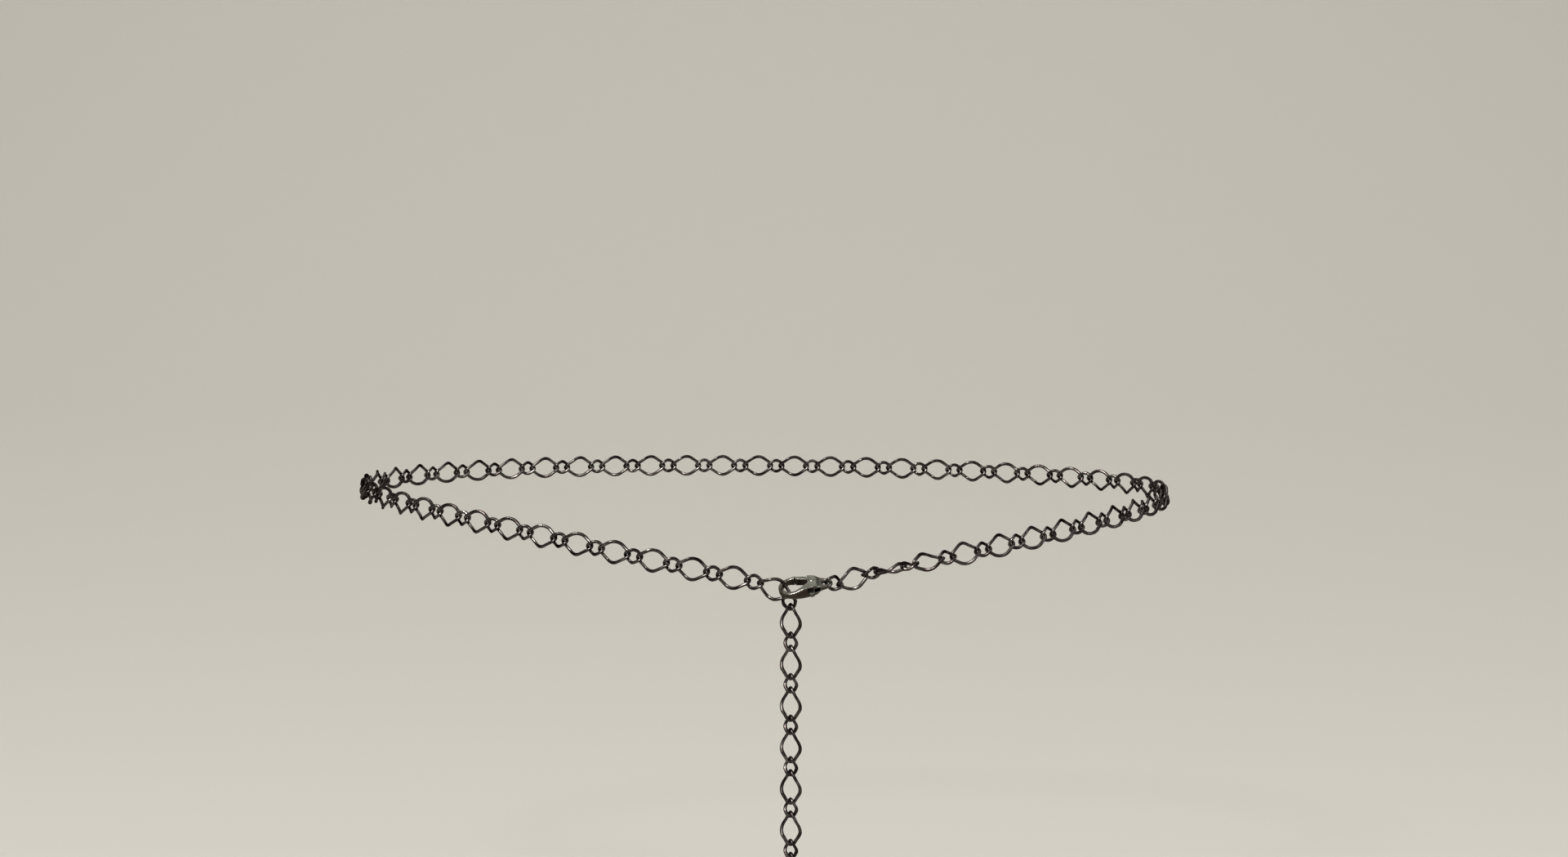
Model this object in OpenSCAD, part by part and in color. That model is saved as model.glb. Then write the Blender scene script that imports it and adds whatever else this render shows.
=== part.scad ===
// Waist chain of twisted curb links, long and short in turn, as it hangs when worn.
// A lobster clasp closes it in front and a drop of the same chain hangs from the clasped
// link. Millimetres, +Z up, the front faces -Y. The origin is the middle of the waist, at
// the height where the chain crosses the wearer's right side.

/* [Links] */
// Diameter of the round wire
wire_d = 0.8; // [0.65:0.05:0.85]
// Outer length of a long link
long_l = 9.1; // [8.4:0.1:10.4]
// Outer width of a long link
long_w = 6.2; // [5.6:0.1:6.4]
// Outer length of a short link
short_l = 5.2; // [5.1:0.1:5.8]
// Outer width of a short link
short_w = 4.1; // [3.7:0.05:4.2]
// Inner radius of every link's rounded ends
link_end_r = 0.8; // [0.76:0.01:0.9]
// Outer radius of a long link's rounded sides
long_side_r = 3.8; // [3:0.1:4.5]
// Outer radius of a short link's rounded sides
short_side_r = 2.2; // [1.8:0.1:2.6]
// Twist of a link from one end to the other, in degrees
link_twist = 80; // [78:1:84]
// Clearance between the wires of two joined links
link_gap = 0.22; // [0.2:0.01:0.28]

/* [Waist] */
// Width of the worn loop
waist_w = 221.2; // [190:0.2:260]
// Depth of the loop in front of the wearer's sides
front_d = 88; // [70:1:110]
// Depth of the loop behind the wearer's sides
back_d = 68; // [50:1:100]
// Fullness of the loop's front, where 2 is an ellipse
front_full = 1.76; // [1.6:0.02:2.4]
// Fullness of the loop's back, where 2 is an ellipse
back_full = 2.05; // [1.8:0.05:2.6]
// How far the front hangs below the sides
front_drop = 17.2; // [8:0.2:30]
// Curve of the rise to the wearer's right side, where 1 is a straight rise
rise_curve = 1.42; // [1.1:0.02:2]
// Curve of the rise to the wearer's left side, where 1 is a straight rise
left_rise_curve = 1.22; // [1.1:0.02:2]
// How far lower the wearer's left side lies than the right side
left_drop = 2.2; // [0:0.1:4]
// How far the lowest point lies right of the middle
lowest_right = 7; // [4:0.5:12]
// Lean of the links' upper edges toward the body, in degrees
lean = 8; // [0:1:15]

/* [Drop] */
// Number of long links in the drop
drop_links = 7; // [3:1:12]

/* [Clasp] */
// Length of the clasp from its bend to the end of its eye
clasp_l = 13.8; // [13:0.1:16]
// Width of the clasp at its bend
clasp_w = 7.4; // [7:0.1:8]
// Thickness of the clasp at its pivot
clasp_t = 3; // [2.8:0.1:3.4]
// Thickness of the hook at its bend
hook_t = 1.6; // [1.4:0.1:1.8]
// Width of the hook's wall at its bend
hook_wall = 1; // [0.8:0.1:1.1]
// Diameter of the hole in the eye
eye_hole_d = 1.9; // [1.8:0.1:2.1]
// Width of the metal round the eye's hole
eye_rim = 0.8; // [0.7:0.05:1]
// Thickness of the eye
eye_t = 1.3; // [1.1:0.1:1.5]
// Thickness of the lever
lever_t = 0.95; // [0.8:0.05:1.2]
// Thickness of the lever's arm beside the hook
arm_t = 2; // [1.4:0.1:2.4]
// Width of the lever's arm
arm_w = 1.1; // [0.9:0.02:1.2]
// How far the lever's arm lies inside the clasp's outline
arm_inset = 0.08; // [0.05:0.01:0.2]
// Width of the thumb nub
nub_w = 1.3; // [1.1:0.1:1.5]
// How far the thumb nub stands out of the clasp
nub_out = 1.7; // [1:0.1:1.9]
// Diameter of the lever's pivot pin
pivot_d = 0.9; // [0.7:0.1:1]
// Running clearance between the pin and the lever's bore
pivot_gap = 0.05; // [0.03:0.01:0.08]
// Clearance of the lever in its slot and at the hook's tip
lever_gap = 0.08; // [0.06:0.01:0.12]

/* [Hidden] */
$fn = 96;
chain_colour = [0.25, 0.23, 0.23];
clasp_colour = [0.36, 0.37, 0.34];

// A link's centre line has a few points round each end and each side of a long link, and
// a five-sided ring of the wire at each point.
wire_sides = 5;
end_points = 5;
long_side_points = 2;
side_share = 0.55;
wire_step = wire_d + link_gap;
long_reach = (long_l - wire_d) / 2;
short_reach = (short_l - wire_d) / 2;
long_pitch = 2 * long_reach - wire_step;
short_pitch = 2 * short_reach - wire_step;

// How the pieces at the clasp lie, chosen to follow the real chain. Each pose is a turn
// toward the front, a rise and a roll about the piece's own length, in degrees.
held_pose = [4.56, -10.25, 20.8];
clasp_pose = [-1, 8, -62.4];
ring_pose = [-21.5, -14.9, -13.1];
first_pose = [-10.59, 6.07, 19.4];
drop_pose = [21.1, -10.8, 22.4];
// Roll of the links that follow the first one right of the clasp: half a turn in all
first_rolls = [first_pose[2], 48, 80, 108, 135, 155, 168, 176];
half_turn = 180;
// Slack between the held link and the hook's bend, and the held link's place in the clasp
hook_slack = 1.02;
clasp_seat = [clasp_l / 2 - hook_wall - wire_d / 2 - hook_slack, 0.601, 1.402];
// Upper end of the drop from the held link's end, and the ring's middle from the eye's
drop_seat = wire_step * [-0.733, -0.371, 0.485];
ring_seat = [2.139, 0.664, 0.053];
// Roll of the drop's other links, and how far its first joint gives
drop_roll = 32.2;
drop_give = [-0.248, 0.003, 0.013];
// Places along the route of the two joints that the clasp closes
held_s = 6.7;
clasp_overlap = 1.1;
first_s = held_s + clasp_l - clasp_overlap;

// Route of the waist: a rounded plan, dipping to its lowest point near the front's middle
route_steps = 720;
function share(v, full) = sign(v) * pow(abs(v), 2 / full);
function route_point(turn) =
    let (ahead = cos(turn) >= 0,
         full = ahead ? front_full : back_full,
         depth = ahead ? front_d : back_d,
         x = waist_w / 2 * share(sin(turn), full),
         run = waist_w / 2 - sign(x - lowest_right) * lowest_right,
         near = max(0, 1 - abs(x - lowest_right) / run),
         side_drop = !ahead ? left_drop * (0.5 + x / waist_w) : x > lowest_right ? left_drop : 0,
         curve = x > lowest_right ? left_rise_curve : rise_curve)
    [x, -depth * share(cos(turn), full),
     -side_drop - (ahead ? (front_drop - side_drop) * pow(near, curve) : 0)];
route = [for (i = [0 : route_steps]) route_point(360 * i / route_steps)];
route_run = [for (i = 0, run = 0; i <= route_steps;
                  run = run + (i < route_steps ? norm(route[i + 1] - route[i]) : 0),
                  i = i + 1) run];
route_axes = [for (axis = [0 : 2]) [for (i = [0 : route_steps]) [route_run[i], route[i][axis]]]];
route_l = route_run[route_steps];

// The loop holds as many links as fit it, and the route is drawn to close on them.
long_count = round((route_l - first_s + held_s + short_pitch) / (long_pitch + short_pitch));
link_count = 2 * long_count - 1;
loop_l = first_s - held_s + long_count * long_pitch + (long_count - 1) * short_pitch;
fit = loop_l / route_l;
function on_route(s) =
    let (run = s / fit - route_l * floor(s / fit / route_l))
    fit * [for (axis = route_axes) lookup(run, axis)];

// Directions and frames: a frame is a piece's length, its width and its face's normal.
function unit(v) = v / norm(v);
function heading(turn, rise) = [cos(rise) * cos(turn), -cos(rise) * sin(turn), sin(rise)];
function turned(way, pose) =
    heading(atan2(-way.y, way.x) + pose[0], asin(way.z) + pose[1]);
function frame(way, outward, roll) =
    let (across = cross(outward, way))
    [way, across * cos(roll) + outward * sin(roll), outward * cos(roll) - across * sin(roll)];
function upright(way, roll) = frame(way, unit(cross(way, [0, 0, 1])), roll);
function facing(way, roll) =
    frame(way, unit([0, -1, 0] + way.y * way), roll);
function from_frame(f, v) = v.x * f[0] + v.y * f[1] + v.z * f[2];
function placed(points, middle, f) = [for (p = points) middle + from_frame(f, p)];

// One link lies along X, its ends and sides joined by tangents, and is twisted about X.
function arc_points(cx, cy, r, middle, spread, count) =
    [for (i = [0 : 1 : count - 1])
        let (a = middle + spread * (count > 1 ? 2 * i / (count - 1) - 1 : 0))
        [cx + r * cos(a), cy + r * sin(a), a]];
function centre_line(reach, width, side_r, side_points) =
    let (end_r = link_end_r + wire_d / 2,
         side = side_r - wire_d / 2,
         run = reach - end_r,
         rise = (width - wire_d) / 2 - side,
         slope = atan2(rise, run) + asin((side - end_r) / norm([run, rise])))
    concat(arc_points(run, 0, end_r, 0, 90 - slope, end_points),
           arc_points(0, rise, side, 90, side_share * slope, side_points),
           arc_points(-run, 0, end_r, 180, 90 - slope, end_points),
           arc_points(0, -rise, side, 270, side_share * slope, side_points));
function twisted(p, reach) =
    let (a = -link_twist / 2 * p.x / reach)
    [p.x, p.y * cos(a) - p.z * sin(a), p.y * sin(a) + p.z * cos(a)];
function link_points(line, reach) =
    [for (c = line, i = [0 : wire_sides - 1])
        let (a = 360 * i / wire_sides, out = wire_d / 2 * cos(a))
        twisted([c.x + out * cos(c[2]), c.y + out * sin(c[2]), wire_d / 2 * sin(a)], reach)];
function link_faces(rings, first) =
    [for (i = [0 : rings - 1], j = [0 : wire_sides - 1])
        let (a = first + i * wire_sides, b = first + (i + 1) % rings * wire_sides,
             k = (j + 1) % wire_sides)
        each [[a + j, a + k, b + k], [a + j, b + k, b + j]]];

long_line = centre_line(long_reach, long_w, long_side_r, long_side_points);
short_line = centre_line(short_reach, short_w, short_side_r, 0);
long_points = link_points(long_line, long_reach);
short_points = link_points(short_line, short_reach);

// A link is [is it long, its middle, its frame]; a row of them is one polyhedron.
module links(row) {
    sizes = [for (one = row) len(one[0] ? long_points : short_points)];
    firsts = [for (i = 0, sum = 0; i < len(row); sum = sum + sizes[i], i = i + 1) sum];
    polyhedron(
        points = [for (one = row) each placed(one[0] ? long_points : short_points, one[1], one[2])],
        faces = [for (i = [0 : len(row) - 1]) each link_faces(sizes[i] / wire_sides, firsts[i])],
        convexity = 10);
}

// Links round the waist, counted from the clasp's ring toward the wearer's left
function joint_s(i) = first_s + ceil(i / 2) * long_pitch + floor(i / 2) * short_pitch;
function waist_link(i) =
    let (from = on_route(joint_s(i)), to = on_route(joint_s(i + 1)),
         way = unit(to - from), is_long = i % 2 == 0,
         roll = i < len(first_rolls) ? first_rolls[i] : half_turn)
    i == 0 ? first_link(to, way)
    : i == link_count - 1 ? held_link(from, way)
    : [is_long, (from + to) / 2, upright(way, roll - lean)];
function first_link(to, way) =
    let (along = turned(way, first_pose))
    [true, to - along * long_pitch / 2, upright(along, first_pose[2] - lean)];
function held_link(from, way) =
    let (along = turned(way, held_pose))
    [true, from + along * long_pitch / 2, upright(along, held_pose[2] - lean)];
held = waist_link(link_count - 1);
held_end = held[1] + held[2][0] * long_reach;

// The clasp lies along its own X, its lever at +Y and its shown face at +Z.
clasp_frame = upright(heading(clasp_pose[0], clasp_pose[1]), clasp_pose[2]);
clasp_middle = held_end + from_frame(clasp_frame, clasp_seat);
eye_r = eye_hole_d / 2 + eye_rim;
eye_x = clasp_l / 2 - eye_r;
bend_x = (clasp_w - clasp_l) / 2;
eye_middle = clasp_middle + eye_x * clasp_frame[0];
ring = [false, eye_middle + ring_seat, facing(heading(ring_pose[0], ring_pose[1]), ring_pose[2])];

// The drop's first link leans off the held link's end, and the rest hang straight down.
drop_way = unit([sin(drop_pose[0]), -sin(drop_pose[1]), -1]);
drop_top = held_end + drop_seat;
down = [0, 0, -1];
function drop_link(i) =
    let (low = drop_top + 2 * short_reach * drop_way + drop_give,
         run = floor((i + 1) / 2) * long_pitch + floor(i / 2) * short_pitch)
    i == 0 ? [false, drop_top + short_reach * drop_way, facing(drop_way, drop_pose[2])]
    : [i % 2 == 1,
       low + (run - (i % 2 == 1 ? long_pitch : short_pitch) / 2 - wire_step / 2) * down,
       facing(down, drop_roll)];

module waist_chain_right()
    color(chain_colour) links([for (i = [0 : long_count - 1]) waist_link(i)]);

module waist_chain_left()
    color(chain_colour) links([for (i = [long_count : link_count - 1]) waist_link(i)]);

module drop_chain()
    color(chain_colour) links([for (i = [0 : 2 * drop_links - 1]) drop_link(i)]);

module clasp_ring()
    color(chain_colour) links([ring]);

// Outline shared by the clasp's solids: two circles and the tangents that join them
module teardrop(x1, r1, x2, r2) {
    lean_in = acos((r1 - r2) / (x2 - x1));
    translate([x1, 0]) circle(r1);
    translate([x2, 0]) circle(r2);
    polygon([for (side = [1, -1], end = side > 0 ? [[x1, r1], [x2, r2]] : [[x2, r2], [x1, r1]])
        [end[0] + end[1] * cos(lean_in), side * end[1] * sin(lean_in)]]);
}

module bar(from, r1, to, r2)
    translate(from) rotate(atan2(to.y - from.y, to.x - from.x)) teardrop(0, r1, norm(to - from), r2);

// Half width of the clasp's outline at x, and the lever's pivot, arm and nub inside it
edge_slope = asin((clasp_w / 2 - eye_r) / (eye_x - bend_x));
function edge_y(x) = clasp_w / 2 / cos(edge_slope) - (x - bend_x) * tan(edge_slope);
pivot = [clasp_l * 0.12, clasp_w * 0.075];
hub_r = pivot_d / 2 + 0.6;
hollow_r = clasp_w / 2 - hook_wall;
hollow_end_r = 1;
hollow_end_x = pivot.x - hub_r - hollow_end_r;
cheek_x = hollow_end_x + hollow_end_r;
function under_edge(x) = [x, edge_y(x) - arm_w / 2 - arm_inset];
arm_tip = under_edge(bend_x + 1.3);
shoulder = under_edge(cheek_x + arm_w / 2);
arm_reach = norm(arm_tip - pivot) + arm_w / 2 + lever_gap;
nub = [pivot.x - 0.3, nub_w / 2 - edge_y(pivot.x - 0.3) - nub_out];
slot_t = lever_t + 2 * lever_gap;
root_r = 0.8 * hub_r;
slot_start = min(pivot.x - root_r, nub.x - nub_w / 2) - lever_gap;
slot_end = eye_x - eye_hole_d / 2 - eye_rim * 0.7;
rivet_r = pivot_d / 2 + 0.2;
rivet_out = 0.12;

module in_clasp() {
    f = clasp_frame;
    m = clasp_middle;
    multmatrix([[f[0].x, f[1].x, f[2].x, m.x], [f[0].y, f[1].y, f[2].y, m.y],
                [f[0].z, f[1].z, f[2].z, m.z], [0, 0, 0, 1]])
        children();
}

module slab(t)
    translate([0, 0, -t / 2]) linear_extrude(t) children();

// Side outline of the clasp: thin at the hook's bend, thickest from the lever's tip to its
// pivot, and thin again at the eye, with an eased change from each to the next
stations = [[-clasp_l / 2 - 1, hook_t / 2], [bend_x - 1.6, hook_t / 2],
            [cheek_x - 0.6, clasp_t / 2], [pivot.x + hub_r / 2, clasp_t / 2],
            [eye_x - eye_hole_d / 2, eye_t / 2], [clasp_l / 2, eye_t * 0.32]];
ease_steps = 7;
function eased(a, b, share) = [a.x + (b.x - a.x) * share, a.y + (b.y - a.y) * (1 - cos(180 * share)) / 2];
side_points = concat([for (i = [0 : len(stations) - 2], j = [0 : ease_steps - 1])
                         eased(stations[i], stations[i + 1], j / ease_steps)],
                     [stations[len(stations) - 1]]);
module side_outline()
    slab(2 * clasp_w) polygon(
        concat(side_points, [for (i = [len(side_points) - 1 : -1 : 0])
                                [side_points[i].x, -side_points[i].y]]));

module clasp_shell()
    intersection() {
        slab(clasp_t) teardrop(bend_x, clasp_w / 2, eye_x, eye_r);
        rotate([90, 0, 0]) side_outline();
    }

// The lever shuts against the hook's tip, so the gap there is an arc about the pivot.
module gate_gap()
    slab(2 * clasp_t) intersection() {
        translate(pivot) circle(arm_reach);
        translate([cheek_x - clasp_l, 0.3]) square([clasp_l, clasp_w]);
    }

module lever_slot()
    slab(slot_t) {
        translate(pivot) circle(hub_r + lever_gap);
        translate([hollow_end_x, pivot.y - hub_r])
            square([pivot.x + hub_r + lever_gap - hollow_end_x, clasp_w]);
        translate([slot_start, -clasp_w]) square([slot_end - slot_start, clasp_w + pivot.y]);
    }

// The eye's hole, with its edges eased on both faces
module eye_hole() {
    r = eye_hole_d / 2;
    cylinder(r = r, h = clasp_t, center = true);
    for (side = [0, 1])
        mirror([0, 0, side]) translate([0, 0, eye_t / 2 - 0.5 * eye_rim])
            cylinder(r1 = r - 0.1, r2 = r + eye_rim, h = eye_rim + 0.1);
}

module clasp_body() color(clasp_colour) in_clasp() {
    difference() {
        clasp_shell();
        slab(2 * clasp_t)
            teardrop(bend_x, hollow_r, hollow_end_x, hollow_end_r);
        gate_gap();
        lever_slot();
        translate([eye_x, 0, 0]) eye_hole();
    }
    translate([pivot.x, pivot.y, 0])
        cylinder(d = pivot_d, h = clasp_t, center = true);
    for (side = [-1, 1])
        translate([pivot.x, pivot.y, side * clasp_t / 2])
            cylinder(r = rivet_r, h = 2 * rivet_out, center = true);
}

// The lever's arm is thick beside the hook and thins where it runs into the slot.
module clasp_lever() color(clasp_colour) in_clasp()
    difference() {
        union() {
            slab(lever_t) bar(pivot, hub_r, shoulder, 0.9 * arm_w / 2);
            slab(arm_t) bar(shoulder, arm_w / 2, arm_tip, arm_w / 2);
            slab(lever_t) hull() {
                translate(pivot) circle(root_r);
                translate(nub) circle(nub_w / 2);
            }
        }
        for (low = [lever_t / 2, -lever_t / 2 - clasp_t])
            translate([cheek_x - lever_gap, -clasp_w, low]) cube([clasp_l, 2 * clasp_w, clasp_t]);
        translate([pivot.x, pivot.y, 0])
            cylinder(d = pivot_d + 2 * pivot_gap, h = 2 * lever_t, center = true);
    }

waist_chain_right();
waist_chain_left();
drop_chain();
clasp_ring();
clasp_body();
clasp_lever();
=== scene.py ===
# Waist chain: a worn loop of twisted curb links, closed by a lobster clasp, with a hanging end
import math
import bmesh
import bpy
import numpy as np
from mathutils import Matrix, Vector


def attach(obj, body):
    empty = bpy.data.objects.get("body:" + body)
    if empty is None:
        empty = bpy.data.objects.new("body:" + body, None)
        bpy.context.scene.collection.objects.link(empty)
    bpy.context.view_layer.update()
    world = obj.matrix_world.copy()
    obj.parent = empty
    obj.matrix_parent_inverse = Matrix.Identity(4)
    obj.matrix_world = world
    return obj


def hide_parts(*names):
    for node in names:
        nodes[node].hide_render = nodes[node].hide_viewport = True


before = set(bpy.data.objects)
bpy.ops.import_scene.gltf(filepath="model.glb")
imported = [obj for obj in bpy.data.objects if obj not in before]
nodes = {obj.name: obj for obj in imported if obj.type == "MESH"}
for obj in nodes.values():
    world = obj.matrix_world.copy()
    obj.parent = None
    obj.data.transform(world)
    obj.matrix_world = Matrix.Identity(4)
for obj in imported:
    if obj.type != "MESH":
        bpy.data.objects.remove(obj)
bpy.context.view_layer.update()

mm = 0.001


# Selection and object mode
def clearAll():
    bpy.ops.object.select_all(action="DESELECT")


def pick(obj):
    clearAll()
    obj.select_set(True)
    bpy.context.view_layer.objects.active = obj


def edit(obj, mode="VERT"):
    pick(obj)
    bpy.ops.object.mode_set(mode="EDIT")
    bpy.ops.mesh.select_mode(type=mode)


def leaveEdit():
    bpy.ops.object.mode_set(mode="OBJECT")


def selectPoints(obj, test):
    # points of the mesh in edit mode, picked by their place
    mesh = bmesh.from_edit_mesh(obj.data)
    for vert in mesh.verts:
        vert.select = test(vert.co)
    mesh.select_flush_mode()
    bmesh.update_edit_mesh(obj.data)


def newPiece(name):
    obj = bpy.context.object
    obj.name = name
    obj.data.name = name
    return obj


def settle(obj):
    # place, turn and scale go into the mesh
    pick(obj)
    bpy.ops.object.transform_apply(location=True, rotation=True, scale=True)


def finish(obj, kind, **values):
    # one modifier, added and applied
    pick(obj)
    mod = obj.modifiers.new(kind.title(), kind)
    for key, value in values.items():
        setattr(mod, key, value)
    bpy.ops.object.modifier_apply(modifier=mod.name)


def outward(obj):
    # doubles are merged, then every face turns outwards
    edit(obj)
    bpy.ops.mesh.select_all(action="SELECT")
    bpy.ops.mesh.remove_doubles(threshold=0.0005)
    bpy.ops.mesh.normals_make_consistent(inside=False)
    leaveEdit()


def cutOut(obj, cutter, how="DIFFERENCE"):
    finish(obj, "BOOLEAN", operation=how, solver="EXACT", object=cutter)
    bpy.data.objects.remove(cutter)


def joinUp(name, parts):
    clearAll()
    for part in parts:
        part.select_set(True)
    bpy.context.view_layer.objects.active = parts[0]
    if len(parts) > 1:
        bpy.ops.object.join()
    parts[0].name = name
    parts[0].data.name = name
    return parts[0]


def smooth(obj):
    pick(obj)
    bpy.ops.object.shade_smooth()


# Shader helpers
def link(tree, a, b):
    tree.links.new(a, b)


def addNode(tree, kind, at=(0, 0), **values):
    node = tree.nodes.new(kind)
    node.location = at
    for key, value in values.items():
        setattr(node, key, value)
    return node


def addRamp(tree, source, stops, at=(0, 0)):
    ramp = addNode(tree, "ShaderNodeValToRGB", at)
    while len(ramp.color_ramp.elements) < len(stops):
        ramp.color_ramp.elements.new(0.5)
    for element, (place, tone) in zip(ramp.color_ramp.elements, stops):
        element.position = place
        element.color = (*tone, 1)
    link(tree, source, ramp.inputs[0])
    return ramp.outputs[0]


def addMaths(tree, how, a, b, at=(0, 0), clamp=False):
    node = addNode(tree, "ShaderNodeMath", at, operation=how, use_clamp=clamp)
    for socket, value in zip(node.inputs, (a, b)):
        if isinstance(value, (int, float)):
            socket.default_value = value
        else:
            link(tree, value, socket)
    return node.outputs[0]


def addMix(tree, share, a, b, at=(0, 0), blend="MIX"):
    node = addNode(tree, "ShaderNodeMix", at, data_type="RGBA", blend_type=blend)
    for socket, value in zip((node.inputs[0], node.inputs[6], node.inputs[7]), (share, a, b)):
        if isinstance(value, (int, float)):
            socket.default_value = value
        elif isinstance(value, tuple):
            socket.default_value = (*value, 1)
        else:
            link(tree, value, socket)
    return node.outputs[2]


def newGroup(name, inputs, outputs):
    group = bpy.data.node_groups.new(name, "ShaderNodeTree")
    for label, kind, value in inputs:
        socket = group.interface.new_socket(label, in_out="INPUT", socket_type=kind)
        if value is not None:
            socket.default_value = value
    for label, kind in outputs:
        group.interface.new_socket(label, in_out="OUTPUT", socket_type=kind)
    into = addNode(group, "NodeGroupInput", (-900, 0))
    out = addNode(group, "NodeGroupOutput", (900, 0))
    return group, into.outputs, out.inputs


def useGroup(tree, group, at, **values):
    node = addNode(tree, "ShaderNodeGroup", at, node_tree=group)
    for key, value in values.items():
        if isinstance(value, (int, float)):
            node.inputs[key].default_value = value
        else:
            link(tree, value, node.inputs[key])
    return node.outputs


# Plated metal: slow patches of tone and haze, and fine rubbed hairlines
def makePlateWear():
    group, given, out = newGroup(
        "plateWear",
        [("Vector", "NodeSocketVector", None), ("Patch Size", "NodeSocketFloat", 400.0),
         ("Line Size", "NodeSocketFloat", 2600.0)],
        [("Patch", "NodeSocketFloat"), ("Haze", "NodeSocketFloat"), ("Hairline", "NodeSocketFloat"),
         ("Grain", "NodeSocketFloat")])
    patch = addNode(group, "ShaderNodeTexNoise", (-600, 300))
    patch.inputs["Detail"].default_value = 3
    patch.inputs["Roughness"].default_value = 0.6
    haze = addNode(group, "ShaderNodeTexNoise", (-600, 60))
    haze.inputs["Detail"].default_value = 4
    stretch = addNode(group, "ShaderNodeMapping", (-700, -200))
    stretch.inputs["Scale"].default_value = (1, 1, 0.16)
    stretch.inputs["Rotation"].default_value = (0.5, 0.9, 0.3)
    lines = addNode(group, "ShaderNodeTexNoise", (-450, -200))
    lines.inputs["Detail"].default_value = 2
    grain = addNode(group, "ShaderNodeTexNoise", (-450, -450))
    grain.inputs["Detail"].default_value = 2
    link(group, given["Vector"], patch.inputs["Vector"])
    link(group, given["Vector"], haze.inputs["Vector"])
    link(group, given["Vector"], grain.inputs["Vector"])
    link(group, given["Vector"], stretch.inputs["Vector"])
    link(group, stretch.outputs[0], lines.inputs["Vector"])
    link(group, given["Patch Size"], patch.inputs["Scale"])
    hazeSize = addMaths(group, "MULTIPLY", given["Patch Size"], 3.7, (-700, 60))
    grainSize = addMaths(group, "MULTIPLY", given["Line Size"], 2.5, (-700, -450))
    link(group, hazeSize, haze.inputs["Scale"])
    link(group, given["Line Size"], lines.inputs["Scale"])
    link(group, grainSize, grain.inputs["Scale"])
    link(group, addRamp(group, patch.outputs[0], [(0.34, (0, 0, 0)), (0.66, (1, 1, 1))], (-300, 300)),
         out["Patch"])
    link(group, addRamp(group, haze.outputs[0], [(0.38, (0, 0, 0)), (0.68, (1, 1, 1))], (-300, 60)),
         out["Haze"])
    link(group, addRamp(group, lines.outputs[0], [(0.55, (0, 0, 0)), (0.66, (1, 1, 1))], (-200, -200)),
         out["Hairline"])
    link(group, grain.outputs[0], out["Grain"])
    return group


# Dark tarnish with painted shade in hollows, and bright wear on edges, with a painted highlight where
# the clasp's edge mask holds its ridge, from the shape masks that each piece carries
def makeEdgeTone():
    group, given, out = newGroup(
        "edgeTone",
        [("Edge", "NodeSocketFloat", 0.0), ("Hollow", "NodeSocketFloat", 0.0),
         ("Break", "NodeSocketFloat", 0.5), ("Wear", "NodeSocketFloat", 0.6),
         ("Tarnish", "NodeSocketFloat", 0.7)],
        [("Bright", "NodeSocketFloat"), ("Dark", "NodeSocketFloat")])
    patchy = addMaths(group, "MULTIPLY_ADD", given["Break"], 0.6, (-700, 200))
    patchy.node.inputs[2].default_value = 0.4
    # edge wear, and on the clasp a painted highlight along its ridge
    worn = addMaths(group, "MULTIPLY", given["Edge"], patchy, (-500, 200))
    link(group, addMaths(group, "MULTIPLY", worn, given["Wear"], (-200, 200), True), out["Bright"])
    # tarnish with painted shade in the hollows
    broken = addMaths(group, "ADD", given["Break"], 0.35, (-500, -200))
    dirtAndShade = addMaths(group, "MULTIPLY", given["Hollow"], broken, (-300, -200))
    link(group, addMaths(group, "MULTIPLY", dirtAndShade, given["Tarnish"], (-100, -200), True), out["Dark"])
    return group


plateWear = makePlateWear()
edgeTone = makeEdgeTone()


def readMask(tree, name, at):
    return addNode(tree, "ShaderNodeAttribute", at, attribute_name=name).outputs["Fac"]


def addRelief(tree, metal, height, strength):
    bump = addNode(tree, "ShaderNodeBump", (-300, -300))
    bump.inputs["Strength"].default_value = strength
    bump.inputs["Distance"].default_value = 0.00002
    link(tree, height, bump.inputs["Height"])
    link(tree, bump.outputs[0], metal.inputs["Normal"])


# Gunmetal plate on the links: dark and warm, brighter where neighbours rub
def makeLinkPlate():
    look = {"deep": (0.022, 0.017, 0.016), "plain": (0.046, 0.038, 0.036), "pale": (0.11, 0.096, 0.091),
            "rubbed": (0.3, 0.275, 0.255), "tarnishAndShade": (0.012, 0.009, 0.008),
            "tint": (0.22, 0.2, 0.2), "patchSize": 260, "lineSize": 3600, "wear": 0.7,
            "polish": 0.2, "haze": 0.14, "hairline": 0.06, "relief": 0.14}
    mat = bpy.data.materials.new("linkPlate")
    mat.use_nodes = True
    tree = mat.node_tree
    metal = tree.nodes["Principled BSDF"]
    place = addNode(tree, "ShaderNodeTexCoord", (-1500, 0)).outputs["Object"]
    wear = useGroup(tree, plateWear, (-1250, 0), Vector=place,
                    **{"Patch Size": look["patchSize"], "Line Size": look["lineSize"]})
    tone = addRamp(tree, wear["Patch"],
                   [(0.0, look["deep"]), (0.45, look["plain"]), (1.0, look["pale"])], (-900, 200))
    edges = useGroup(tree, edgeTone, (-900, -100), Edge=readMask(tree, "rub", (-1250, -250)),
                     Break=wear["Haze"], Wear=look["wear"])
    shade = addMix(tree, edges["Bright"], tone, look["rubbed"], (-600, 200))
    shade = addMix(tree, readMask(tree, "seam", (-900, -350)), shade, look["tarnishAndShade"], (-400, 200))
    link(tree, shade, metal.inputs["Base Color"])
    rough = addMaths(tree, "MULTIPLY_ADD", wear["Haze"], look["haze"], (-600, -100))
    rough.node.inputs[2].default_value = look["polish"]
    rubbed = addMaths(tree, "MULTIPLY", wear["Hairline"], look["hairline"], (-600, -260))
    link(tree, addMaths(tree, "ADD", rough, rubbed, (-400, -100)), metal.inputs["Roughness"])
    metal.inputs["Metallic"].default_value = 1.0
    metal.inputs["Specular Tint"].default_value = (*look["tint"], 1)
    relief = addMaths(tree, "ADD", wear["Hairline"], wear["Grain"], (-500, -400))
    addRelief(tree, metal, relief, look["relief"])
    return mat
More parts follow.
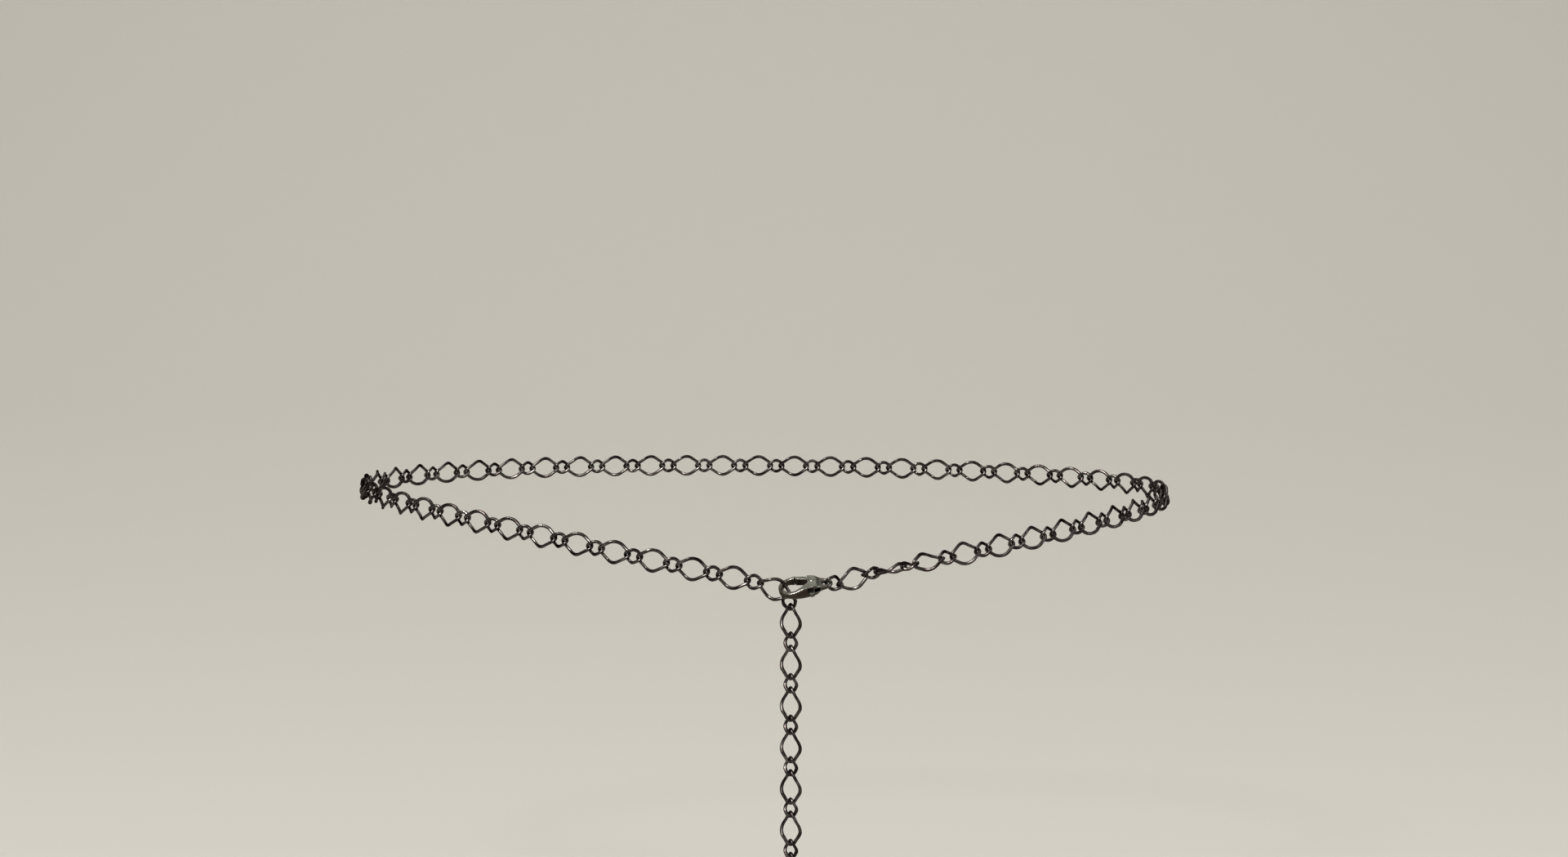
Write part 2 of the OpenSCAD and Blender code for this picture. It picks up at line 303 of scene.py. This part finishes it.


# Cast clasp: a greener satin grey, tarnished brown with painted shade in its slots, painted shade on
# its side walls, darker towards both ends, and bright on its edges with wear and a painted highlight
# along the ridge
def makeClaspPlate():
    # the worn colour also paints a ridge highlight, the side colour paints shade on walls and ends, and
    # the tarnish colour paints shade in hollows along with tarnish
    look = {"deep": (0.075, 0.075, 0.062), "plain": (0.105, 0.107, 0.09), "pale": (0.15, 0.153, 0.13),
            "worn": (0.55, 0.54, 0.5), "tarnishAndShade": (0.032, 0.023, 0.017), "side": (0.04, 0.03, 0.023),
            "tint": (0.5, 0.49, 0.46), "patchSize": 420, "lineSize": 3000, "wear": 0.8,
            "sideShare": 0.95, "polish": 0.24, "haze": 0.14, "dull": 0.3, "relief": 0.1}
    mat = bpy.data.materials.new("claspPlate")
    mat.use_nodes = True
    tree = mat.node_tree
    metal = tree.nodes["Principled BSDF"]
    place = addNode(tree, "ShaderNodeTexCoord", (-1500, 0)).outputs["Object"]
    wear = useGroup(tree, plateWear, (-1250, 0), Vector=place,
                    **{"Patch Size": look["patchSize"], "Line Size": look["lineSize"]})
    tone = addRamp(tree, wear["Patch"],
                   [(0.0, look["deep"]), (0.5, look["plain"]), (1.0, look["pale"])], (-900, 200))
    edges = useGroup(tree, edgeTone, (-900, -100), Edge=readMask(tree, "edgeWearAndHighlight", (-1250, -250)),
                     Hollow=readMask(tree, "hollow", (-1250, -420)), Break=wear["Haze"],
                     Wear=look["wear"], Tarnish=1.0)
    # painted shade, partly tarnish, on sideways faces, and darker towards both ends
    wall = readMask(tree, "wall", (-1250, 420))
    side = addMaths(tree, "MULTIPLY", wall, look["sideShare"], (-900, 420))
    tone = addMix(tree, side, tone, look["side"], (-750, 300))
    # the worn colour paints edge wear and a highlight along the ridge
    shade = addMix(tree, edges["Bright"], tone, look["worn"], (-600, 200))
    # the tarnish colour paints tarnish with shade in the hollows
    shade = addMix(tree, edges["Dark"], shade, look["tarnishAndShade"], (-400, 200))
    link(tree, shade, metal.inputs["Base Color"])
    rough = addMaths(tree, "MULTIPLY_ADD", wear["Haze"], look["haze"], (-600, -100))
    rough.node.inputs[2].default_value = look["polish"]
    dull = addMaths(tree, "MULTIPLY", edges["Dark"], look["dull"], (-600, -260))
    link(tree, addMaths(tree, "ADD", rough, dull, (-400, -100), True), metal.inputs["Roughness"])
    metal.inputs["Metallic"].default_value = 1.0
    metal.inputs["Specular Tint"].default_value = (*look["tint"], 1)
    relief = addMaths(tree, "ADD", wear["Grain"], wear["Haze"], (-500, -400))
    addRelief(tree, metal, relief, look["relief"])
    return mat


linkPlate = makeLinkPlate()
claspPlate = makeClaspPlate()
print("materials made")

# Links, in millimetres: one quarter is swept from the end's tip, mirrored twice and twisted
links = {"wire": 0.88, "endRadius": 1.2, "twist": 80, "wireSides": 14, "longOver": 7,
         "seamHalf": 0.03, "seamReach": 0.08, "seamPinch": 0.95, "seamPick": 1.2,
         "rubDepth": 0.35, "rubSpread": 0.55, "rubReach": 1.0,
         "long": {"reach": 4.15, "halfWidth": 2.7, "sideRadius": 3.4, "endSteps": 10, "sideSteps": 8},
         "short": {"reach": 2.2, "halfWidth": 1.65, "sideRadius": 1.8, "endSteps": 10, "sideSteps": 7}}


def modelLink(name, size):
    wireR = links["wire"] / 2
    run = size["reach"] - links["endRadius"]
    rise = size["halfWidth"] - size["sideRadius"]
    lean = math.asin((size["sideRadius"] - links["endRadius"]) / math.hypot(run, rise))
    slope = math.degrees(math.atan2(rise, run) + lean)
    turn = math.radians(90 - slope)
    clearAll()
    bpy.ops.mesh.primitive_circle_add(vertices=links["wireSides"], radius=wireR,
                                      location=(size["reach"], 0, 0), rotation=(math.pi / 2, 0, 0))
    obj = newPiece(name)
    settle(obj)
    edit(obj)
    bpy.ops.mesh.select_all(action="SELECT")
    bpy.ops.mesh.spin(steps=size["endSteps"], angle=-turn, center=(run, 0, 0), axis=(0, 0, 1))
    start = Vector((run + links["endRadius"] * math.cos(turn), links["endRadius"] * math.sin(turn), 0))
    end = Vector((size["sideRadius"] * math.cos(turn), rise + size["sideRadius"] * math.sin(turn), 0))
    bpy.ops.mesh.extrude_region_move(TRANSFORM_OT_translate={"value": end - start})
    bpy.ops.mesh.spin(steps=size["sideSteps"], angle=-math.radians(slope), center=(0, rise, 0),
                      axis=(0, 0, 1))
    leaveEdit()
    print(name, "quarter of a link,", len(obj.data.polygons), "faces")
    finish(obj, "MIRROR", use_axis=(True, True, False), merge_threshold=0.002)
    outward(obj)
    cutSeam(obj, size)
    markWire(obj, size)
    # the modifier turns over the whole box, which is longer than the centre line by the wire
    finish(obj, "SIMPLE_DEFORM", deform_method="TWIST", deform_axis="X",
           angle=-math.radians(links["twist"]) * (size["reach"] + wireR) / size["reach"])
    smooth(obj)
    return obj


def onSeam(p):
    # a point of the butt itself, between the cuts at its edges
    return p.y > 0 and abs(p.x) < (links["seamHalf"] + links["seamReach"]) / 2


def cutSeam(obj, size):
    # the butt where the wire was closed: a fine groove round the middle of one side
    edit(obj)
    half, reach, pinch = links["seamHalf"], links["seamReach"], links["seamPinch"]
    for x in (-reach, -half, half, reach):
        selectPoints(obj, lambda p: p.y > 0 and abs(p.x) < links["seamPick"])
        bpy.ops.mesh.bisect(plane_co=(x, 0, 0), plane_no=(1, 0, 0))
    selectPoints(obj, onSeam)
    bpy.ops.transform.resize(value=(1, pinch, pinch), center_override=(0, size["halfWidth"], 0))
    leaveEdit()


def markWire(obj, size):
    # rub: the inside of each end, where the next link bears; seam: the closed butt of one side
    mesh = obj.data
    rub = mesh.attributes.new("rub", "FLOAT", "POINT")
    seam = mesh.attributes.new("seam", "FLOAT", "POINT")
    bearing = size["reach"] - links["wire"] / 2 - links["rubDepth"]
    for i, vert in enumerate(mesh.vertices):
        fromEnd = math.hypot(abs(vert.co.x) - bearing, vert.co.y * links["rubSpread"])
        rub.data[i].value = max(0.0, 1 - fromEnd / links["rubReach"])
        seam.data[i].value = float(onSeam(vert.co))


def placesOf(node):
    # each loose link of a CAD node: its middle and its own axes, longest first;
    # corners that its triangles share are welded, to a tenth of a micron
    mesh = nodes[node].data
    grid = 1e7
    points = np.empty(len(mesh.vertices) * 3)
    mesh.vertices.foreach_get("co", points)
    points = points.reshape(-1, 3)
    keys, same = np.unique(np.round(points * grid).astype(np.int64), axis=0, return_inverse=True)
    same = same.ravel()
    root = list(range(len(keys)))

    def top(i):
        while root[i] != i:
            root[i] = root[root[i]]
            i = root[i]
        return i

    for edgeWearAndHighlight in mesh.edges:
        a, b = top(same[edgeWearAndHighlight.vertices[0]]), top(same[edgeWearAndHighlight.vertices[1]])
        if a != b:
            root[a] = b
    spots = keys / grid
    owners = np.array([top(i) for i in range(len(keys))])
    found = []
    for owner in np.unique(owners):
        ours = spots[owners == owner]
        middle = ours.mean(axis=0)
        axes = np.linalg.eigh(np.cov((ours - middle).T))[1]
        along, across = axes[:, 2], axes[:, 1]
        isLong = np.ptp((ours - middle) @ along) > links["longOver"] * mm
        rows = np.column_stack([along, across, np.cross(along, across), middle]).tolist()
        found.append((isLong, Matrix(rows + [(0, 0, 0, 1)])))
    return found


def layLinks(node, longLink, shortLink):
    # a round link goes where each of the CAD node's links is, and the row becomes one piece
    row = []
    for isLong, place in placesOf(node):
        model = longLink if isLong else shortLink
        one = bpy.data.objects.new(node + "_link", model.data.copy())
        bpy.context.scene.collection.objects.link(one)
        one.data.transform(place @ Matrix.Scale(mm, 4))
        row.append(one)
    piece = joinUp(node + "_worn", row)
    piece.data.materials.clear()
    piece.data.materials.append(linkPlate)
    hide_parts(node)
    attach(piece, "chain")
    print(node, len(row), "links,", len(piece.data.polygons), "faces")


longLink = modelLink("longLink", links["long"])
shortLink = modelLink("shortLink", links["short"])
for node in ("waist_chain_right", "waist_chain_left", "drop_chain", "clasp_ring"):
    layLinks(node, longLink, shortLink)
for model in (longLink, shortLink):
    bpy.data.objects.remove(model)
print("links laid")

# The clasp, in millimetres in its own frame: length along X, lever at +Y, shown face at +Z
clasp = {"middle": (10.8867, -88.598, -16.4728), "turn": -1, "rise": 8, "roll": -62.4,
         "length": 13.8, "width": 7.4, "thick": 3.0, "hookThick": 1.6, "hookWall": 1.0,
         "eyeHole": 0.95, "eyeRim": 0.8, "eyeThick": 1.3, "pinRadius": 0.45, "gap": 0.08,
         "leverThick": 0.95, "armThick": 2.0, "armWidth": 1.1, "armInset": 0.08, "nubWidth": 1.3,
         "nubOut": 1.7, "hollowEnd": 1.0, "rivetRadius": 0.65, "rivetOut": 0.12,
         "boreSlack": 0.05, "gateLow": 0.3, "easeSlack": 0.1, "hookRun": 1.6, "cheekRun": 0.6,
         "tipShare": 0.32, "shellGrain": 0.1, "shellRounding": 38, "grain": 0.07, "rounding": 6,
         "leverGrain": 0.05, "leverRounding": 5}
clasp["eyeRadius"] = clasp["eyeHole"] + clasp["eyeRim"]
clasp["eyeX"] = clasp["length"] / 2 - clasp["eyeRadius"]
clasp["bendX"] = (clasp["width"] - clasp["length"]) / 2
clasp["pivot"] = (clasp["length"] * 0.12, clasp["width"] * 0.075)
clasp["hub"] = clasp["pinRadius"] + 0.6
clasp["cheekX"] = clasp["pivot"][0] - clasp["hub"]
clasp["hollowX"] = clasp["cheekX"] - clasp["hollowEnd"]
clasp["nubX"] = clasp["pivot"][0] - 0.3
clasp["nubRoot"] = 0.8 * clasp["hub"]
clasp["armTipX"] = clasp["bendX"] + 1.3
clasp["past"] = 9  # a limit beyond the clasp on every side


def claspEdge(x):
    slope = math.asin((clasp["width"] / 2 - clasp["eyeRadius"]) / (clasp["eyeX"] - clasp["bendX"]))
    return clasp["width"] / 2 / math.cos(slope) - (x - clasp["bendX"]) * math.tan(slope)


def underEdge(x):
    # middle of the lever's arm, just inside the clasp's outline
    return (x, claspEdge(x) - clasp["armWidth"] / 2 - clasp["armInset"])


def taper(name, start, r1, end, r2, thick, sides=96):
    # a flat bar between two round ends, its straight sides tangent to both
    reach = math.hypot(end[0] - start[0], end[1] - start[1])
    spread = math.acos((r1 - r2) / reach)
    clearAll()
    bpy.ops.mesh.primitive_circle_add(vertices=sides, radius=r1, fill_type="NGON",
                                      location=(0, 0, -thick / 2))
    obj = newPiece(name)
    settle(obj)
    edit(obj)
    selectPoints(obj, lambda p: abs(math.atan2(p.y, p.x)) < spread)
    bpy.ops.transform.resize(value=(r2 / r1, r2 / r1, 1), center_override=(0, 0, 0))
    bpy.ops.transform.translate(value=(reach, 0, 0))
    bpy.ops.mesh.select_all(action="SELECT")
    bpy.ops.mesh.extrude_region_move(TRANSFORM_OT_translate={"value": (0, 0, thick)})
    bpy.ops.mesh.select_all(action="SELECT")
    bpy.ops.mesh.normals_make_consistent(inside=False)
    leaveEdit()
    obj.rotation_euler.z = math.atan2(end[1] - start[1], end[0] - start[0])
    obj.location = (start[0], start[1], 0)
    settle(obj)
    return obj


def disc(name, centre, radius, low, high, sides=96):
    clearAll()
    bpy.ops.mesh.primitive_cylinder_add(vertices=sides, radius=radius, depth=high - low,
                                        location=(centre[0], centre[1], (low + high) / 2))
    obj = newPiece(name)
    settle(obj)
    return obj


def block(name, low, high):
    clearAll()
    bpy.ops.mesh.primitive_cube_add(size=1, location=[(a + b) / 2 for a, b in zip(low, high)],
                                    scale=[b - a for a, b in zip(low, high)])
    obj = newPiece(name)
    settle(obj)
    return obj


def sideShape():
    # the clasp seen from its side: thin hook, thick middle, thin eye, eased from one to the next
    hook, thick, steps = clasp["hookThick"] / 2, clasp["thick"] / 2, 8
    stations = [(-clasp["length"] / 2 - 1, hook), (clasp["bendX"] - clasp["hookRun"], hook),
                (clasp["cheekX"] - clasp["cheekRun"], thick),
                (clasp["pivot"][0] + clasp["hub"] / 2, thick),
                (clasp["eyeX"] - clasp["eyeHole"], clasp["eyeThick"] / 2),
                (clasp["length"] / 2, clasp["eyeThick"] * clasp["tipShare"])]
    profile = [stations[0]]
    for (x0, h0), (x1, h1) in zip(stations, stations[1:]):
        for step in range(1, steps + 1):
            eased = (1 - math.cos(math.pi * step / steps)) / 2
            profile.append((x0 + (x1 - x0) * step / steps, h0 + (h1 - h0) * eased))
    clearAll()
    bpy.ops.mesh.primitive_plane_add(size=1, rotation=(0, math.pi / 2, 0))
    obj = newPiece("claspSide")
    settle(obj)
    edit(obj)
    bpy.ops.mesh.select_all(action="SELECT")
    x0, half = profile[0]
    bpy.ops.transform.resize(value=(1, 2 * clasp["width"], 2 * half), center_override=(0, 0, 0))
    bpy.ops.transform.translate(value=(x0, 0, 0))
    for x, nextHalf in profile[1:]:
        bpy.ops.mesh.extrude_region_move(TRANSFORM_OT_translate={"value": (x - x0, 0, 0)})
        bpy.ops.transform.resize(value=(1, 1, nextHalf / half), center_override=(x, 0, 0))
        x0, half = x, nextHalf
    bpy.ops.mesh.select_all(action="SELECT")
    bpy.ops.mesh.normals_make_consistent(inside=False)
    leaveEdit()
    return obj


def gateCut():
    # the gap between the hook's tip and the lever is an arc about the pivot
    armTip, past = underEdge(clasp["armTipX"]), clasp["past"]
    reach = math.dist(armTip, clasp["pivot"]) + clasp["armWidth"] / 2 + clasp["gap"]
    gap = disc("gateCut", clasp["pivot"], reach, -clasp["thick"], clasp["thick"], 160)
    cutOut(gap, block("gateSide", (-past, clasp["gateLow"], -past), (clasp["cheekX"], past, past)),
           "INTERSECT")
    return gap


def eyeEase(side):
    # a shallow cone that eases the edge of the eye's hole on one face
    low = clasp["eyeThick"] / 2 - clasp["eyeRim"] / 2
    depth = clasp["eyeRim"] + clasp["easeSlack"]
    clearAll()
    bpy.ops.mesh.primitive_cone_add(vertices=96, radius1=clasp["eyeHole"] - clasp["easeSlack"],
                                    radius2=clasp["eyeRadius"], depth=depth,
                                    location=(clasp["eyeX"], 0, side * (low + depth / 2)),
                                    rotation=(0 if side > 0 else math.pi, 0, 0))
    cone = newPiece("eyeEase")
    settle(cone)
    return cone


def castSkin(obj, grain, rounds):
    # the joined solids become one cast skin with softened edges
    finish(obj, "REMESH", mode="VOXEL", voxel_size=grain, use_smooth_shade=True)
    finish(obj, "SMOOTH", factor=0.5, iterations=rounds)


# Where the cast metal is worn and tarnished, with painted shade on its walls and in its hollows and a
# painted highlight on its ridge: lengths in millimetres, turns as a part of 1
marks = {"rounds": 14, "edgeOut": 0.14, "hollowIn": 0.05, "ridgeHighlight": 0.9, "ridgeTurn": 0.64,
         "ridgeSpread": 0.26, "wall": 1.1, "wallFade": 1.5, "nubY": -3.2, "nubFade": 0.6,
         "nubHalf": 0.75, "eyeX": 3.0, "eyeFade": 1.6, "eyeMost": 0.75, "hookX": -3.0,
         "hookFade": 2.5, "hookMost": 0.65}


def markCast(obj):
    # edge and hollow masks: how far each point stands out of, or lies under, a smoothed copy,
    # with a painted highlight on the rounded ridge between a face and a side wall in the edge mask,
    # and tarnish with painted shade in the hollow mask; wall mask: painted shade, partly tarnish, on
    # faces that look sideways out of the clasp, darker towards both its ends, and none on the nub's
    # tip, which the thumb rubs
    mesh = obj.data
    count = len(mesh.vertices)
    points = np.empty(count * 3)
    mesh.vertices.foreach_get("co", points)
    points = points.reshape(-1, 3)
    normals = np.empty(count * 3)
    mesh.vertices.foreach_get("normal", normals)
    normals = normals.reshape(-1, 3)
    ends = np.empty(len(mesh.edges) * 2, dtype=np.int64)
    mesh.edges.foreach_get("vertices", ends)
    ends = ends.reshape(-1, 2)
    degree = np.bincount(ends.ravel(), minlength=count)[:, None]
    soft = points.copy()
    for _ in range(marks["rounds"]):
        total = np.zeros_like(soft)
        np.add.at(total, ends[:, 0], soft[ends[:, 1]])
        np.add.at(total, ends[:, 1], soft[ends[:, 0]])
        soft = total / np.maximum(degree, 1)
    out = np.einsum("ij,ij->i", points - soft, normals)
    x, y, facing = points[:, 0], points[:, 1], np.abs(normals[:, 2])
    # painted shade on faces that look sideways, partly tarnish
    sideways = np.clip(marks["wall"] - marks["wallFade"] * facing, 0, 1)
    nubTip = np.clip((marks["nubY"] - y) / marks["nubFade"], 0, 1)
    nubTip = nubTip * (np.abs(x - clasp["nubX"]) < marks["nubHalf"])
    # painted highlight: a band along the rounded ridge between a face and a side wall
    ridgeHighlight = np.clip(1 - np.abs(facing - marks["ridgeTurn"]) / marks["ridgeSpread"], 0, 1)
    # darker towards both ends
    nearEnd = (np.clip((x - marks["eyeX"]) / marks["eyeFade"], 0, marks["eyeMost"])
               + np.clip((marks["hookX"] - x) / marks["hookFade"], 0, marks["hookMost"]))
    for name, values in (
            ("edgeWearAndHighlight", np.clip(out / marks["edgeOut"] + marks["ridgeHighlight"] * ridgeHighlight, 0, 1)),
            # hollow: tarnish with painted shade in recesses
            ("hollow", np.clip(-out / marks["hollowIn"], 0, 1)),
            # wall: painted shade on sideways faces, darker towards both ends
            ("wall", np.maximum(sideways, nearEnd) * (1 - nubTip))):
        mask = mesh.attributes.new(name, "FLOAT", "POINT")
        mask.data.foreach_set("value", values.astype(np.float32))


def claspPlace():
    # from the clasp's own frame to the worn chain's, and from millimetres to metres
    turn, rise, roll = (math.radians(clasp[k]) for k in ("turn", "rise", "roll"))
    along = Vector((math.cos(rise) * math.cos(turn), -math.cos(rise) * math.sin(turn), math.sin(rise)))
    out = along.cross(Vector((0, 0, 1))).normalized()
    up = out.cross(along)
    across = up * math.cos(roll) + out * math.sin(roll)
    face = out * math.cos(roll) - up * math.sin(roll)
    rows = [(along[i], across[i], face[i], clasp["middle"][i]) for i in range(3)]
    return Matrix.Scale(mm, 4) @ Matrix(rows + [(0, 0, 0, 1)])


def dressClasp(piece, node, body):
    piece.data.transform(claspPlace())
    piece.data.materials.clear()
    piece.data.materials.append(claspPlate)
    smooth(piece)
    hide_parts(node)
    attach(piece, body)
    print(node, len(piece.data.polygons), "faces")


def modelClaspBody():
    # a softened shell, cut by the hollow, the gate, the lever's room and the eye
    thick, gap, pivot = clasp["thick"], clasp["gap"], clasp["pivot"]
    body = taper("claspBody", (clasp["bendX"], 0), clasp["width"] / 2, (clasp["eyeX"], 0),
                 clasp["eyeRadius"], thick, 128)
    cutOut(body, sideShape(), "INTERSECT")
    castSkin(body, clasp["shellGrain"], clasp["shellRounding"])
    finish(body, "TRIANGULATE")
    cutOut(body, taper("hollowCut", (clasp["bendX"], 0), clasp["width"] / 2 - clasp["hookWall"],
                       (clasp["hollowX"], 0), clasp["hollowEnd"], 2 * thick))
    cutOut(body, gateCut())
    slot = clasp["leverThick"] / 2 + gap
    cutOut(body, disc("hubCut", pivot, clasp["hub"] + gap, -slot, slot))
    cutOut(body, block("armCut", (clasp["hollowX"], pivot[1] - clasp["hub"], -slot),
                       (pivot[0] + clasp["hub"] + gap, clasp["past"], slot)))
    nubLeft = min(pivot[0] - clasp["nubRoot"], clasp["nubX"] - clasp["nubWidth"] / 2) - gap
    nubRight = clasp["eyeX"] - clasp["eyeHole"] - 0.7 * clasp["eyeRim"]
    cutOut(body, block("nubCut", (nubLeft, -clasp["width"], -slot), (nubRight, pivot[1], slot)))
    cutOut(body, disc("eyeCut", (clasp["eyeX"], 0), clasp["eyeHole"], -thick, thick))
    for side in (-1, 1):
        cutOut(body, eyeEase(side))
    pin = disc("claspPin", pivot, clasp["pinRadius"], -thick / 2, thick / 2)
    heads = [disc("rivetHead", pivot, clasp["rivetRadius"], side * thick / 2 - clasp["rivetOut"],
                  side * thick / 2 + clasp["rivetOut"]) for side in (-1, 1)]
    body = joinUp("claspBody", [body, pin, *heads])
    castSkin(body, clasp["grain"], clasp["rounding"])
    markCast(body)
    return body


def modelClaspLever():
    # a hub, an arm that thins where it enters the slot, and a thumb nub
    pivot, thick, past = clasp["pivot"], clasp["leverThick"], clasp["past"]
    half = clasp["armWidth"] / 2
    nub = (clasp["nubX"], clasp["nubWidth"] / 2 - claspEdge(clasp["nubX"]) - clasp["nubOut"])
    shoulder, armTip = underEdge(clasp["cheekX"] + half), underEdge(clasp["armTipX"])
    arm = taper("leverArm", shoulder, half, armTip, half, clasp["armThick"])
    for low, high in ((thick / 2, past), (-past, -thick / 2)):
        cutOut(arm, block("armStep", (clasp["cheekX"] - clasp["gap"], -past, low), (past, past, high)))
    parts = [arm, taper("leverRoot", pivot, clasp["hub"], shoulder, 0.9 * half, thick),
             taper("leverNub", pivot, clasp["nubRoot"], nub, clasp["nubWidth"] / 2, thick)]
    bore = clasp["pinRadius"] + clasp["boreSlack"]
    for part in parts:
        cutOut(part, disc("leverBore", pivot, bore, -thick, thick, 64))
    lever = joinUp("claspLever", parts)
    castSkin(lever, clasp["leverGrain"], clasp["leverRounding"])
    markCast(lever)
    return lever


dressClasp(modelClaspBody(), "clasp_body", "chain")
dressClasp(modelClaspLever(), "clasp_lever", "lever")
print("clasp made")

# Pale floor that curves up into a backdrop
studio = {"floorZ": -0.115, "front": -3.0, "back": 1.6, "half": 4.0, "curve": 0.9, "height": 4.0,
          "paper": (0.79, 0.765, 0.7), "paperRough": 0.85, "air": (0.95, 0.94, 0.92), "airPower": 0.23}
clearAll()
bpy.ops.mesh.primitive_plane_add(
    size=1, location=(0, (studio["front"] + studio["back"]) / 2, studio["floorZ"]))
floor = newPiece("floor")
floor.scale = (2 * studio["half"], studio["back"] - studio["front"], 1)
settle(floor)
edit(floor)
selectPoints(floor, lambda p: p.y > studio["back"] - 0.01)
bpy.ops.mesh.spin(steps=24, angle=-math.pi / 2, axis=(1, 0, 0),
                  center=(0, studio["back"], studio["floorZ"] + studio["curve"]))
bpy.ops.mesh.extrude_region_move(TRANSFORM_OT_translate={"value": (0, 0, studio["height"])})
leaveEdit()
smooth(floor)
paper = bpy.data.materials.new("palePaper")
paper.use_nodes = True
matt = paper.node_tree.nodes["Principled BSDF"]
matt.inputs["Base Color"].default_value = (*studio["paper"], 1)
matt.inputs["Roughness"].default_value = studio["paperRough"]
floor.data.materials.append(paper)
print("floor laid")


def standAt(obj, place, target):
    # lamps and the camera look along their own -Z
    obj.location = place
    obj.rotation_euler = (Vector(target) - Vector(place)).to_track_quat("-Z", "Y").to_euler()
    bpy.context.scene.collection.objects.link(obj)


# Soft lights: one high at the left, one beside it that only the metal mirrors, a weak one at
# the right, and a broad one above the backdrop; each has its place, aim, size, power and tint
lamps = {"keyLight": ((-0.45, -0.8, 0.95), (0, 0, 0), 0.28, 6.5, (1.0, 0.985, 0.96)),
         "glintLight": ((-0.3, -0.85, 0.9), (0, 0, 0), 0.2, 24, (1.0, 0.98, 0.95)),
         "sideLight": ((0.9, -0.5, 0.4), (0, 0, 0), 0.22, 1.8, (0.97, 0.985, 1.0)),
         "skyLight": ((0.0, 1.3, 2.6), (0, 1.4, 0), 2.6, 34, (1.0, 0.99, 0.97))}
for name, (where, aim, size, power, tint) in lamps.items():
    lamp = bpy.data.lights.new(name, "AREA")
    lamp.size, lamp.energy, lamp.color = size, power, tint
    holder = bpy.data.objects.new(name, lamp)
    holder.visible_diffuse = name != "glintLight"
    standAt(holder, where, aim)
world = bpy.data.worlds.new("studioAir")
bpy.context.scene.world = world
world.use_nodes = True
air = world.node_tree.nodes["Background"]
air.inputs["Color"].default_value = (*studio["air"], 1)
air.inputs["Strength"].default_value = studio["airPower"]

# The photograph's view: a long lens a metre off, a little above the loop; focal and frame in pixels
view = {"place": (0.0054, -0.9962, 0.103), "target": (0.0054, 0, 0.0159), "focal": 4423, "frame": 1920}
camera = bpy.data.cameras.new("mainView")
camera.sensor_width = 36  # in millimetres
camera.lens = view["focal"] / view["frame"] * camera.sensor_width
camera.clip_start = 0.01
eyePoint = bpy.data.objects.new("mainView", camera)
standAt(eyePoint, view["place"], view["target"])
bpy.context.scene.camera = eyePoint
bpy.context.scene.view_settings.view_transform = "Standard"  # keeps thin dark wire dark

print("studio ready")
